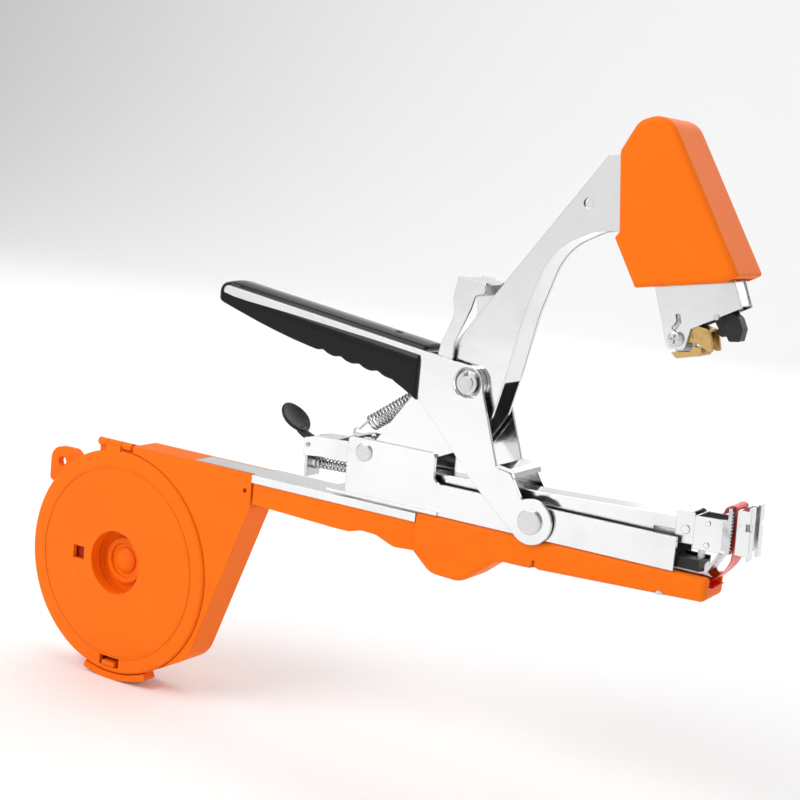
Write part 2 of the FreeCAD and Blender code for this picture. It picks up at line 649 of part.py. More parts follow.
def cam_slot(clearance):
    """The curved slot that the lever's pin runs in."""
    half = pin_radius + clearance
    centres = [cam_point(i / 12.0) for i in range(13)]
    sides = ([], [])
    for i, centre in enumerate(centres):
        along = unit(centres[max(0, i - 1)], centres[min(12, i + 1)])
        for side, sign in ((0, half), (1, -half)):
            sides[side].append(V(centre[0] - along[1] * sign, 0, centre[1] + along[0] * sign))
    edges = []
    for side in sides:
        curve = Part.BSplineCurve()
        curve.interpolate(side)
        edges.append(curve.toShape())
    for i, sign in ((0, -1), (12, 1)):
        towards = unit(centres[max(0, i - 1)], centres[min(12, i + 1)])
        tip = V(centres[i][0] + towards[0] * half * sign, 0, centres[i][1] + towards[1] * half * sign)
        edges.append(Part.Arc(sides[0][i], tip, sides[1][i]).toShape())
    slot = Part.Face(Part.Wire(Part.__sortEdges__(edges))).extrude(V(0, 60, 0))
    slot.translate(V(0, -30, 0))
    return slot


spring_anchor = (arm_pivot[0] + 18.7, arm_pivot[1] + 21.9)
cover_screw_radius = 1.6


def clincher_arm():
    top = back_edge(136.0)
    side = [(arm_pivot[0] - 1.0, arm_pivot[1] - 5.4), back_edge(0.0), top, (top[0] + 8.0, top[1] + 1.0, 4.0),
            (236.0, 160.0), (228.0, 152.5), (217.0, 152.5), (211.5, 157.9)] + inner_edge[::-1] + \
           [(167.8, 89.6, 4.0), (160.0, 77.2, 3.0), (148.6, 72.2, 30.0),
            (arm_pivot[0] + 9.0, arm_pivot[1] - 5.0, 10.0)]
    lug = cam_point(1.0)
    parts = []
    for y in (-arm_half, arm_half - arm_sheet):
        plate = slab(side, y, y + arm_sheet)
        parts.append(join([plate, disc(arm_pivot, 5.4, y, y + arm_sheet),
                           disc(lug, pin_radius + 3.2, y, y + arm_sheet)]))
    web = mid_slab(strip([(170.8, 101.5)] + inner_edge + [(206.6, 158.4)], 1.2), arm_half - 0.3)
    shift = V(-0.6, 0, 0.6)
    web.translate(shift)
    cross = disc(spring_anchor, 0.9, -arm_half + 0.2, arm_half - 0.2)
    shape = join(parts + [web, cross])
    holes = [disc(arm_pivot, rivet_radius + pin_fit, -20, 20), cam_slot(0.15),
             disc((195.4, 166.3), 1.7, -20, 20), disc(cover_screw, cover_screw_radius, -20, 20)]
    return shape.cut(Part.makeCompound(holes))


def hinge_rivets():
    inner = cover_half - cover_sheet - 0.9
    shank = disc(arm_pivot, rivet_radius, -base_half - 0.01, -inner)
    head = disc(arm_pivot, 3.4, -base_half - 0.9, -base_half)
    head = rounded(head, 0.6, lambda p: p.y < -base_half - 0.8)
    tail = disc(arm_pivot, 2.9, -inner - 0.1 - 0.55, -inner)
    tail.translate(V(0, 0.6, 0))
    shank = shank.fuse(disc(arm_pivot, rivet_radius, -inner - 0.01, -inner + 0.3))
    return Part.makeCompound(both_sides(join([shank, head, tail])))


# ---- clincher head ------------------------------------------------------------------------------
head_outline = [(206.6, 184.0, 4.0), (212.0, 194.0, 6.0), (222.0, 197.4, 8.0), (251.3, 148.6, 1.0),
                (246.3, 145.9, 3.0), (217.0, 140.9, 0.8), (208.0, 156.2, 0.6), (209.4, 158.2, 0.6)]


def head_cover():
    shell = mid_slab(head_outline, head_half)
    shell = rounded(shell, 2.0, lambda p: abs(abs(p.y) - head_half) < 1e-3
                    and not (p.z < 160 and p.x < 216) and not (p.z < 149 and p.x < 250) and p.x > 208.5)
    hollow = mid_slab([(204.0, 184.9), (209.3, 184.6, 2.0), (213.6, 192.6, 5.0), (221.0, 194.8, 6.0),
                       (248.6, 149.6, 1.0), (252.0, 138.0), (216.5, 136.0), (210.8, 154.0), (204.0, 156.0)],
                      head_half - head_wall)
    screw = disc(cover_screw, cover_screw_radius, 2.4 - head_half, head_half + 1)
    bosses = both_sides(disc(cover_screw, 3.0, arm_half + 0.02, head_half - head_wall + 0.5))
    return join([shell.cut(hollow)] + bosses).cut(screw)


def head_screw():
    shank = disc(cover_screw, cover_screw_radius, 2.4 - head_half, head_half + 0.01)
    head = disc(cover_screw, 3.0, head_half, head_half + 1.4)
    head = rounded(head, 0.7, lambda p: p.y > head_half + 1.3)
    return shank.fuse(head).cut(cross_slot(cover_screw, 1.8, 0.3, head_half + 0.7, head_half + 3))


catch_wire = [(229.9, 129.3), (231.2, 131.6), (230.7, 133.4)]
catch_wire_radius = 0.3
catch_wire_y = 0.6 - bracket_half      # inside the thickness of the bracket's near plate


def wire_shape(radius):
    """Round wire along the catch spring's path."""
    x0, x1, x2 = [(x, catch_wire_y, z) for x, z in catch_wire]
    knee = Part.makeSphere(radius, V(*x1))
    return join([rod(x0, x1, radius), knee, rod(x1, x2, radius)])


def head_bracket():
    side = [(221.2, 143.0), (228.2, 122.6, 1.8), (234.2, 122.6, 1.5), (235.4, 129.7, 0.5),
            (251.4, 138.5, 0.5), (247.6, 148.0), (234.0, 172.0, 2.0), (218.0, 172.0, 2.0),
            (214.0, 160.0, 3.0)]
    front = mid_slab(strip([(251.0, 138.9), (247.2, 148.2), (236.0, 168.0)], 0.9), bracket_half - 0.3)
    front.translate(V(-0.6, 0, -0.2))
    shape = join(plates(side, bracket_half, 1.0) + [front])
    hook_slot = slab([(229.9, 133.9), (231.3, 134.1), (232.0, 131.5), (230.4, 128.4), (229.0, 129.2),
                      (230.4, 131.6)], -20, 0)
    holes = [disc(catch_pivot, catch_pin_radius, -20, 20), hook_slot,
             disc(cover_screw, cover_screw_radius, -20, 20),
             disc(presser_pivot, presser_pin_radius, -20, 20)]
    return shape.cut(Part.makeCompound(holes))


def catch_screw():
    shank = disc(catch_pivot, catch_pin_radius, -bracket_half - 0.01, bracket_half + 0.8)
    head = disc(catch_pivot, 2.6, -bracket_half - 1.6, -bracket_half)
    head = rounded(head, 0.8, lambda p: p.y < -bracket_half - 1.5)
    cross = cross_slot(catch_pivot, 1.5, 0.3, -bracket_half - 3, -bracket_half - 0.8)
    nut = disc(catch_pivot, 2.4, bracket_half, bracket_half + 0.8)
    return join([shank, head, nut]).cut(cross)


def clincher_anvil():
    """Brass block whose lower face bends the staple legs, with two grooves."""
    body = mid_slab([(229.4, 121.3), (231.2, 119.6, 0.6), (240.0, 121.6, 0.6), (239.3, 124.0),
                     (236.4, 124.2), (235.6, 122.4, 0.6)], bracket_half - 1.2)
    groove = [rod((228.5, y, 118.9), (241.5, y, 121.8), 0.5) for y in (-1.5, 1.5)]
    return body.cut(Part.makeCompound(groove))


def anvil_stem():
    """Steel tongue that holds the anvil between the bracket's plates."""
    stem = mid_slab([(229.8, 121.4), (235.4, 122.4), (234.6, 130.0), (231.0, 150.0), (225.0, 150.0),
                     (228.0, 134.0)], 1.5)
    stem = stem.cut(clincher_anvil())
    return stem.cut(disc(catch_pivot, catch_pin_radius, -20, 20))


def tape_catch():
    """Brass fork on the head's screw: two prongs that push the tape end down at the nose."""
    arm_half_width = bracket_half - 1.0 - body_gap
    flank = [(229.2, 127.8, 1.5), (229.2, 124.2, 1.5), (232.8, 124.2, 0.6), (235.5, 125.4),
             (238.2, 125.2, 1.0), (241.6, 123.2, 0.5), (243.2, 123.2, 0.5), (241.6, 130.2, 2.0),
             (236.0, 131.2, 1.5), (233.0, 128.4, 1.0)]
    shape = join(plates(flank, arm_half_width, 1.2)
                 + [mid_slab(strip([(236.2, 130.5), (240.8, 129.8)], 1.0), arm_half_width)])
    shape = shape.cut(mid_slab([(234, 122), (244, 122), (244, 128.9), (234, 128.9)], 2.2))
    dimple = disc((236.6, 127.6), 0.9, -arm_half_width - 0.5, -arm_half_width + 0.3)
    return shape.cut(dimple).cut(disc(catch_pivot, catch_pin_radius + pin_fit, -20, 20))


def catch_spring():
    """Wire hook that shows in the slot in the bracket's side."""
    return wire_shape(catch_wire_radius)


def tape_presser():
    """Black plastic foot that holds the tape down beside the blade."""
    fan = [(239.8, 136.2, 0.6), (243.5, 131.0, 0.8), (246.6, 128.6, 0.6), (247.6, 127.2, 0.5),
           (251.0, 127.6, 0.5), (251.6, 131.6, 0.8), (249.8, 135.4, 2.5), (245.6, 137.2, 2.0)]
    body = mid_slab(fan, 2.4)
    foot = mid_slab([(242.4, 129.6, 0.3), (245.0, 128.2, 0.3), (246.4, 129.8), (244.0, 131.8)], 1.8)
    pivot = disc(presser_pivot, 1.8, -2.6, 2.6)
    return join([body, foot, pivot]).cut(disc(presser_pivot, presser_pin_radius + pin_fit, -20, 20))


def presser_pin():
    return disc(presser_pivot, presser_pin_radius, -bracket_half - 0.3, bracket_half + 0.3)


def cutter_blade():
    """Thin tape knife standing between the presser and the bracket's side."""
    edge = [(240.4, 139.0), (246.4, 131.6), (248.6, 133.6), (246.6, 144.0), (241.0, 148.0)]
    return slab(edge, 2.9, 3.5).cut(disc(presser_pivot, presser_pin_radius, -20, 20))


# ---- lever, sleeve and drive pins ---------------------------------------------------------------
lever_slope = -0.138
sleeve_front = 138.5


def lever_top(x):
    return 121.6 + lever_slope * (x - 49.0)


def lever_outline():
    return [(49.0, 116.4, 2.0), (47.0, lever_top(47.0), 2.0), (157.0, lever_top(157.0), 20.0),
            (163.2, lever_top(157.0) - 0.4, 6.0), (165.0, 97.5, 20.0), (173.2, 72.9, 1.5), (179.0, 71.9, 1.5),
            (lever_pivot[0] + 0.5, lever_pivot[1]), (lever_pivot[0] - 5.2, lever_pivot[1] - 6.0),
            (163.4, 67.0, 40.0), (151.8, 79.4, 40.0), (138.0, 93.3, 30.0), (129.0, 100.4, 20.0),
            (97.0, 107.0, 60.0), (66.4, 113.0, 60.0)]


def handle_lever():
    boss = 8.0
    side = lever_outline()
    parts = []
    for y in (-handle_half, handle_inner):
        parts.append(join([slab(side, y, y + handle_sheet), disc(lever_pivot, boss, y, y + handle_sheet)]))
    web_end = sleeve_front + 3.0
    web = mid_slab([(50.0, lever_top(50.0) - handle_sheet), (50.0, lever_top(50.0) - 0.02),
                    (web_end, lever_top(web_end) - 0.02), (web_end, lever_top(web_end) - handle_sheet)],
                   handle_half - 0.2)
    shelf = mid_slab(strip([(173.9, 73.6), (179.6, 72.9, 1.2), (180.4, 70.6)], 1.2), handle_half - 0.2)
    dish = both_sides(disc(drive_point, 6.2, arm_half + body_gap, handle_inner + 0.2))
    shape = join(parts + [web, shelf] + dish)
    mouth = V(drive_point[0], -handle_half - 0.01, drive_point[1])
    recess = both_sides(Part.makeCone(5.6, 4.4, 1.1, mouth, V(0, 1, 0)))
    holes = [disc(drive_point, pin_radius, -20, 20), disc(lever_pivot, lever_pin_radius, -20, 20)]
    return shape.cut(Part.makeCompound(recess)).cut(Part.makeCompound(holes))


def sleeve_outline():
    points = [(44.0, 117.0, 3.0), (42.0, 120.6, 2.0), (46.5, lever_top(46.5) + 1.0, 4.0),
              (sleeve_front, lever_top(sleeve_front) + 1.0), (sleeve_front, 91.6), (131.0, 95.6, 12.0)]
    for i in range(4):
        x = 125.2 - 8.2 * i
        z = 98.3 + 1.55 * i
        rise = 1.9 if i < 3 else 1.2
        points += [(x, z, 3.0), (x - 3.6, z + rise, 3.0)]
    return points + [(82.0, 105.8, 60.0), (66.4, 109.6, 60.0), (51.0, 114.3, 30.0)]


def handle_sleeve():
    outer = mid_slab(sleeve_outline(), sleeve_half)
    outer = rounded(outer, 2.8, lambda p: abs(abs(p.y) - sleeve_half) < 1e-3
                    and abs(p.z - lever_top(p.x) - 1.0) < 0.3 and 60 < p.x < sleeve_front - 5)
    steel = mid_slab(lever_outline(), handle_half)
    beyond = sleeve_front + 5
    hollow = mid_slab([(50.0, lever_top(50.0) - handle_sheet), (beyond, lever_top(beyond) - handle_sheet),
                       (beyond, 80.0), (90.0, 90.0), (50.0, 110.0)], handle_inner)
    vent = rod((122.5, 0, 100), (122.5, 0, 130), 1.6)
    return outer.cut(steel).cut(hollow).cut(vent)


def drive_pin():
    pin = disc(drive_point, pin_radius, -handle_half - 0.9, handle_half + 0.9)
    grooves = []
    core = disc(drive_point, pin_radius - 0.5, -20, 20)
    for y in (-handle_half - 0.5, handle_half + 0.1):
        grooves.append(disc(drive_point, pin_radius + 1, y, y + 0.4).cut(core))
    return pin.cut(Part.makeCompound(grooves))


def pin_clips():
    clips = []
    for y in (-handle_half - 0.48, handle_half + 0.12):
        ring = disc(drive_point, 4.0, y, y + 0.36).cut(disc(drive_point, pin_radius - 0.5, -20, 20))
        x, z = drive_point
        mouth = block(x - 1.4, x + 1.4, y - 1, y + 1, z, z + 6)
        clips.append(ring.cut(mouth))
    return Part.makeCompound(clips)


def lever_pin():
    shank = disc(lever_pivot, lever_pin_radius, -handle_half - 0.01, -cover_half - 0.7)
    head = disc(lever_pivot, 4.4, -handle_half - 1.3, -handle_half)
    head = rounded(head, 0.4, lambda p: p.y < -handle_half - 1.2)
    tail = disc(lever_pivot, 3.8, base_sheet - base_half, -cover_half - 0.7)
    return Part.makeCompound(both_sides(join([shank, head, tail])))


def stop_bracket():
    """Yoke on the lever that straddles the arm's back edge and limits how far the jaws open."""
    side = [(144.2, 104.6), (150.8, 104.2), (151.0, 113.6, 6.0), (156.2, 126.0, 8.0), (157.6, 131.0, 2.0),
            (161.4, 132.0, 1.0), (160.8, 135.6, 1.2), (150.2, 137.0, 1.0), (148.9, 128.6, 2.0),
            (150.0, 123.0, 6.0), (145.6, 112.6, 6.0)]
    bridge = mid_slab(strip([(150.9, 129.6), (151.4, 136.2, 0.8), (159.9, 135.0)], 0.9), handle_inner - 0.3)
    return join(plates(side, handle_inner, 0.9) + [bridge])


def return_spring():
    """Tension spring from the base's hook to the arm's cross pin."""
    mean, wire = 2.8, 0.4
    start = V(base_rear - 1.6, 0, base_cheek_top + 0.7)
    end = V(spring_anchor[0], 0, spring_anchor[1] + 1.4)
    along = (end - start).normalize()
    low = start + along * 7.6
    high = end - along * 3.6
    body = coil(tuple(low), tuple(high), mean, wire, 14)
    lead = rod(tuple(start), tuple(low + V(0, mean, 0)), wire)
    return join([body, lead])


# ---- build, place and write ---------------------------------------------------------------------
makers = (base_frame, lower_grip, grip_screws, tape_rail, tape_case, case_lid, lid_pin, case_screw,
          roll_core, tape_roll, tape_lead, magazine_channel, magazine_cover, tail_bracket,
          tail_end, guide_rod, staple_pusher, pusher_spring, staple_stick, nose_plate, nose_box,
          tooth_band, tape_gate, nose_tie, tape_end, release_tab, tab_pin, lift_spring,
          driver_blade, driver_block, nose_guide, clincher_arm, hinge_rivets, head_cover,
          head_screw, head_bracket, catch_screw, clincher_anvil, anvil_stem, tape_catch,
          catch_spring, tape_presser, presser_pin, cutter_blade, handle_lever, handle_sleeve,
          drive_pin, pin_clips, lever_pin, stop_bracket, return_spring)
for maker in makers:
    nodes[maker.__name__] = maker()

whole = FreeCAD.BoundBox()
for shape in nodes.values():
    whole.add(shape.optimalBoundingBox(False, False))
origin = V((whole.XMin + whole.XMax) / 2, (whole.YMin + whole.YMax) / 2, whole.ZMin)
os.makedirs("parts", exist_ok=True)
for name, shape in nodes.items():
    placed = shape.copy()
    placed.translate(-origin)
    placed.exportStep("parts/" + name + ".step")
print("origin", tuple(round(v, 3) for v in origin), "size", [round(v, 1) for v in
      (whole.XLength, whole.YLength, whole.ZLength)], "nodes", len(nodes))
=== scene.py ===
import json
import math

import bmesh
import bpy
import numpy as np
from mathutils import Matrix, Vector


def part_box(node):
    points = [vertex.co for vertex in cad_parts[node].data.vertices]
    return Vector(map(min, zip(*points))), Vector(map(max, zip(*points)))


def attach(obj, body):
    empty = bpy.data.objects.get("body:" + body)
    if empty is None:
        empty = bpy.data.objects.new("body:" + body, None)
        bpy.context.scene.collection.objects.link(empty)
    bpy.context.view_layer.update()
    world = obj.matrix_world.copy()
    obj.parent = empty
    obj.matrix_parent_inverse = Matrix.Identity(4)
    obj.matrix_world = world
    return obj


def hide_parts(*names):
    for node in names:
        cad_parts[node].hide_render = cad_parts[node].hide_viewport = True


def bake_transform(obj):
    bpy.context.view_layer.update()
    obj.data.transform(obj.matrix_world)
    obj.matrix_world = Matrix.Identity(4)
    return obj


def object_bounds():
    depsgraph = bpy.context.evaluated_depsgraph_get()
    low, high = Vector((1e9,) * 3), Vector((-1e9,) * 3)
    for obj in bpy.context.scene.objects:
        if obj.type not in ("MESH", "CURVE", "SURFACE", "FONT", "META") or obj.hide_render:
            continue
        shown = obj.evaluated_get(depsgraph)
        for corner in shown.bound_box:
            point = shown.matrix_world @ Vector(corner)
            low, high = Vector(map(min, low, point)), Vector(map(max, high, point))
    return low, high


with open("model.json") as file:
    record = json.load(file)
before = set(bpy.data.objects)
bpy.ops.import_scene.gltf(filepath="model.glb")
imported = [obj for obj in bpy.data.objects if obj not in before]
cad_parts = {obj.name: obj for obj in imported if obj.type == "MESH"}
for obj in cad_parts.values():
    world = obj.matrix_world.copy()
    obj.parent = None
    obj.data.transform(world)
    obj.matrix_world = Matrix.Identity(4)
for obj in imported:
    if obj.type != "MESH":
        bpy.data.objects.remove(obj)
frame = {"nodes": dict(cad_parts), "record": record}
cad_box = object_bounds()
nodes = frame["nodes"]

# A plant-tying tape stapler.  The maker's own datum is the axis of the tape roll in the tool's
# mid-plane: x runs forward to the nose, y away from the case lid, z up, in millimetres.
MM = 0.001
JOIN = 1e-6                     # points closer than this, in metres, become one
roll_low, roll_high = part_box("tape_roll")
rail_low, rail_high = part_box("tape_rail")
DATUM = np.array([(roll_low.x + roll_high.x) / 2,
                  (rail_low.y + rail_high.y) / 2,
                  (roll_low.z + roll_high.z) / 2])
ACROSS = (0, 1, 0)              # from the case lid's side to the other
VENT = (122.5, 0.0, 112.4)      # small drain hole on the top of the sleeve


def place(points):
    """Points in the maker's millimetres as points in the frame, in metres."""
    return DATUM + MM * np.asarray(points, float)


def drawn(point):
    """A point of the frame, in metres, in the maker's millimetres."""
    return (np.array(point) - DATUM) / MM


def corners(node):
    """Low and high corners of a node's box in the maker's millimetres."""
    low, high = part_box(node)
    return drawn(low), drawn(high)


def middle(node):
    """Centre of a node's box in the maker's millimetres."""
    low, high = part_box(node)
    return drawn((low + high) / 2)


# ---- surfaces -----------------------------------------------------------------------------------
def grid_faces(rows, columns, closed, start):
    """Four-sided faces of a grid of points numbered row by row from start.  A closed grid also has
    faces from its last column back to its first."""
    row = np.arange(rows - 1)[:, None]
    column = np.arange(columns if closed else columns - 1)[None, :]
    beside = (column + 1) % columns
    around = [row * columns + column, row * columns + beside,
              (row + 1) * columns + beside, (row + 1) * columns + column]
    around = [np.broadcast_to(corner, (rows - 1, column.size)) for corner in around]
    return start + np.stack(around, -1).reshape(-1, 4)


def piece(name, body, finish, tubes=(), sheets=()):
    """One smooth mesh of several grids, each an array (rows, columns, 3) in the maker's millimetres.
    Tubes close on themselves across their columns and sheets don't.  It rides on body, if given."""
    points, faces, start = [], [], 0
    for grid, closed in [(grid, True) for grid in tubes] + [(grid, False) for grid in sheets]:
        faces.append(grid_faces(grid.shape[0], grid.shape[1], closed, start))
        points.append(place(grid).reshape(-1, 3))
        start += grid.shape[0] * grid.shape[1]
    mesh = bpy.data.meshes.new(name)
    mesh.from_pydata(np.concatenate(points).tolist(), [], np.concatenate(faces).tolist())
    shape = bmesh.new()
    shape.from_mesh(mesh)
    bmesh.ops.remove_doubles(shape, verts=shape.verts, dist=JOIN)
    bmesh.ops.recalc_face_normals(shape, faces=shape.faces)
    shape.to_mesh(mesh)
    shape.free()
    mesh.polygons.foreach_set("use_smooth", np.full(len(mesh.polygons), True))
    mesh.materials.append(finish)
    made = bpy.data.objects.new(name, mesh)
    bpy.context.scene.collection.objects.link(made)
    if body:
        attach(made, body)
    return made


def unit(vectors):
    """Vectors scaled to a length of one."""
    return vectors / np.maximum(np.linalg.norm(vectors, axis=-1, keepdims=True), 1e-12)


def tube(path, radius, reference, around=12):
    """A round wire on a path: ring k is path[k] + r (cos a n + sin a b), with n square to the path
    and to the reference direction, and b square to both; both ends shrink to a point, which closes
    them."""
    path = np.asarray(path, float)
    along = unit(np.gradient(path, axis=0))
    side = unit(np.cross(along, np.broadcast_to(np.asarray(reference, float), path.shape)))
    other = np.cross(side, along)
    angle = np.linspace(0, 2 * math.pi, around, endpoint=False)
    ring = np.cos(angle)[None, :, None] * side[:, None] + np.sin(angle)[None, :, None] * other[:, None]
    body = path[:, None] + radius * ring
    first, last = np.repeat(path[:1], around, 0)[None], np.repeat(path[-1:], around, 0)[None]
    return np.concatenate([first, body, last])


def helix(start, end, radius, turns, per_turn=20):
    """A helix about the line from start to end: start + t (end - start) + r (cos 2 pi n t, sin 2 pi n t)."""
    start, end = np.asarray(start, float), np.asarray(end, float)
    axis = unit(end - start)
    side = unit(np.cross(axis, [0.0, 1.0, 0.0]))
    other = np.cross(axis, side)
    t = np.linspace(0, 1, int(turns * per_turn) + 1)[:, None]
    angle = 2 * math.pi * turns * t
    return start + t * (end - start) + radius * (np.cos(angle) * side + np.sin(angle) * other)


def curve(points, count):
    """Catmull-Rom curve through the points: cubic pieces whose tangents join each point's neighbours."""
    points = np.asarray(points, float)
    padded = np.concatenate([2 * points[:1] - points[1:2], points, 2 * points[-1:] - points[-2:-1]])
    t = np.linspace(0, len(points) - 1, count)
    k = np.minimum(t.astype(int), len(points) - 2)
    f = (t - k)[:, None]
    a, b, c, d = padded[k], padded[k + 1], padded[k + 2], padded[k + 3]
    square = 2 * a - 5 * b + 4 * c - d
    cube = 3 * b - 3 * c + d - a
    return 0.5 * (2 * b + (c - a) * f + square * f ** 2 + cube * f ** 3)


def ribbon(path, half, thickness, crown=0.0):
    """Flat strip on an (x, z) path: the profile is a thin closed band of the strip's width, and its
    middle stands crown higher than its edges."""
    path = np.asarray(path, float)
    along = unit(np.gradient(path, axis=0))
    out = np.stack([-along[:, 1], along[:, 0]], -1)
    across = np.linspace(-1, 1, 13)
    upper = thickness / 2 + crown * (1 - across ** 2)
    lower = crown * (1 - across ** 2) - thickness / 2
    wide = half * np.concatenate([across, across[::-1]])
    lift = np.concatenate([upper, lower[::-1]])
    x = path[:, :1] + out[:, :1] * lift
    z = path[:, 1:] + out[:, 1:] * lift
    return np.stack([x, np.broadcast_to(wide, x.shape), z], -1)


def lathe(profile, centre, around=96):
    """A profile of (radius, y) pairs turned about the y axis through centre."""
    profile = np.asarray(profile, float)
    angle = np.linspace(0, 2 * math.pi, around, endpoint=False)[None, :]
    radius, height = profile[:, :1], profile[:, 1:]
    return np.stack([centre[0] + radius * np.cos(angle), centre[1] + height + 0 * angle,
                     centre[2] + radius * np.sin(angle)], -1)


# ---- shader writing -----------------------------------------------------------------------------
class Signal:
    """A socket of a finish, with arithmetic that adds Math nodes."""

    def __init__(self, finish, socket):
        self.finish = finish
        self.socket = socket

    def __add__(self, other):
        return self.finish.math("ADD", self, other)

    def __sub__(self, other):
        return self.finish.math("SUBTRACT", self, other)

    def __rsub__(self, other):
        return self.finish.math("SUBTRACT", other, self)

    def __mul__(self, other):
        return self.finish.math("MULTIPLY", self, other)

    __radd__ = __add__
    __rmul__ = __mul__


class Finish:
    """A material with one Principled shader, whose uniform values are set on its own sockets."""

    def __init__(self, name, **constants):
        self.material = bpy.data.materials.new(name)
        self.material.use_nodes = True
        self.tree = self.material.node_tree
        self.shader = self.tree.nodes["Principled BSDF"]
        for socket, value in constants.items():
            self.shader.inputs[socket.replace("_", " ")].default_value = value
        self.where = Signal(self, self.node("ShaderNodeTexCoord").outputs["Object"])

    def node(self, kind, settings=None, sockets=None):
        """Adds any node: its settings first, a ramp's stops among them, then its sockets."""
        made = self.tree.nodes.new(kind)
        for key, value in (settings or {}).items():
            if key == "stops":
                ramp = made.color_ramp
                for i, (position, colour) in enumerate(value):
                    stop = ramp.elements[i] if i < 2 else ramp.elements.new(position)
                    stop.position = position
                    stop.color = colour
            else:
                setattr(made, key, value)
        for key, value in (sockets or {}).items():
            self.feed(made.inputs[key], value)
        return made

    def feed(self, socket, value):
        """Links a signal to a socket, or sets a plain value on it."""
        if isinstance(value, Signal):
            self.tree.links.new(value.socket, socket)
        else:
            socket.default_value = value

    def math(self, operation, *values):
        """One Math node on signals or numbers."""
        made = self.node("ShaderNodeMath", {"operation": operation}, dict(enumerate(values)))
        return Signal(self, made.outputs[0])

    def noise(self, scale, detail=3.0, roughness=0.5, where=None):
        """Cloud noise from 0 to 1: scale is in waves per metre."""
        sockets = {"Vector": where or self.where, "Scale": scale, "Detail": detail, "Roughness": roughness}
        return Signal(self, self.node("ShaderNodeTexNoise", None, sockets).outputs["Fac"])

    def stretched(self, x, y, z):
        """Object coordinates scaled by axis, for grain that runs one way."""
        made = self.node("ShaderNodeMapping", None, {"Vector": self.where, "Scale": (x, y, z)})
        return Signal(self, made.outputs["Vector"])

    def band(self, value, low, high):
        """0 below low and 1 above high, smooth between."""
        made = self.node("ShaderNodeMapRange", {"interpolation_type": "SMOOTHSTEP"},
                         {"Value": value, "From Min": low, "From Max": high})
        return Signal(self, made.outputs["Result"])

    def blend(self, share, first, second):
        """Colour mix: first at share 0 and second at share 1."""
        made = self.node("ShaderNodeMix", {"data_type": "RGBA"}, {"Factor": share, 6: first, 7: second})
        return Signal(self, made.outputs[2])

    def bump(self, height, strength, distance, under=None):
        """Normal tilted by a height; under is the normal that it starts from."""
        sockets = {"Height": height, "Strength": strength, "Distance": distance}
        if under:
            sockets["Normal"] = under
        return Signal(self, self.node("ShaderNodeBump", None, sockets).outputs["Normal"])

    def soft_edges(self, radius):
        """Normal rounded over sharp edges, to a radius in metres."""
        made = self.node("ShaderNodeBevel", {"samples": 4}, {"Radius": radius})
        return Signal(self, made.outputs["Normal"])

    def edges(self, radius):
        """0 on flat faces, rising to 1 along sharp edges and inside corners; it masks painted shade."""
        flat = self.node("ShaderNodeNewGeometry").outputs["Normal"]
        sockets = {0: self.soft_edges(radius), 1: Signal(self, flat)}
        turn = self.node("ShaderNodeVectorMath", {"operation": "DOT_PRODUCT"}, sockets)
        return self.band(1.0 - Signal(self, turn.outputs["Value"]), 0.015, 0.2)

    def done(self, **linked):
        """Links or sets the named sockets of the shader, and gives the material."""
        for socket, value in linked.items():
            self.feed(self.shader.inputs[socket.replace("_", " ")], value)
        return self.material


def colour(red, green, blue):
    """An opaque colour, in linear values."""
    return (red, green, blue, 1.0)


# ---- finishes -----------------------------------------------------------------------------------
def orange_plastic():
    """Satin moulded plastic: spark-eroded grain, faint flow marks and paler, duller patches."""
    f = Finish("orange_plastic", Specular_IOR_Level=0.14)
    grain = f.noise(2600, 2, 0.55)
    flow = f.noise(38, 3, 0.5, f.stretched(1, 1, 2.2))
    patches = f.noise(95, 4, 0.6)
    paint = f.blend(flow, colour(0.88, 0.145, 0.001), colour(0.95, 0.180, 0.001))
    paint = f.blend(f.band(patches, 0.58, 0.78) * 0.3, paint, colour(0.98, 0.21, 0.003))
    sheen = 0.46 + 0.10 * patches - 0.06 * grain
    return f.done(Base_Color=paint, Roughness=sheen,
                  Normal=f.bump(grain, 0.35, 0.00016, f.soft_edges(0.0004)))


def plated_sheet():
    """Bright nickel on pressed sheet: soft waves, faint drag lines, dulled spots, and painted shade along
    its edges and in inside corners.
    """
    f = Finish("plated_sheet", Metallic=1.0)
    wave = f.noise(55, 2, 0.4)
    drag = f.noise(420, 2, 0.5, f.stretched(0.12, 1, 1.6))
    spots = f.noise(210, 5, 0.65)
    haze = f.band(f.noise(30, 3, 0.6), 0.45, 0.75)
    shade = f.blend(haze * 0.5, colour(0.80, 0.80, 0.80), colour(0.66, 0.67, 0.69))
    # Painted shade: the colour goes nearly black along sharp edges and into inside corners.
    shade = f.blend(f.edges(0.0003) * 0.85, shade, colour(0.07, 0.07, 0.075))
    rough = 0.10 + 0.10 * haze + 0.12 * f.band(spots, 0.62, 0.72) + 0.05 * drag
    height = wave * 0.8 + drag * 0.05
    return f.done(Base_Color=shade, Roughness=rough,
                  Normal=f.bump(height, 0.22, 0.0012, f.soft_edges(0.00035)))


def plain_steel():
    """Machined or drawn steel with fine lines and a few dark rubbed marks."""
    f = Finish("plain_steel", Metallic=1.0)
    lines = f.noise(900, 3, 0.6, f.stretched(0.2, 1, 1))
    rub = f.band(f.noise(130, 4, 0.6), 0.5, 0.75)
    shade = f.blend(rub, colour(0.66, 0.66, 0.67), colour(0.42, 0.42, 0.43))
    return f.done(Base_Color=shade, Roughness=0.22 + 0.14 * lines + 0.12 * rub,
                  Normal=f.bump(lines, 0.25, 0.0002, f.soft_edges(0.0003)))


def spring_wire():
    """Drawn wire: bright, with a greyer oiled film in places."""
    f = Finish("spring_wire", Metallic=1.0)
    film = f.noise(300, 3, 0.5)
    shade = f.blend(f.band(film, 0.4, 0.7), colour(0.72, 0.72, 0.74), colour(0.45, 0.44, 0.44))
    return f.done(Base_Color=shade, Roughness=0.18 + 0.16 * film, Normal=f.bump(film, 0.15, 0.0001))


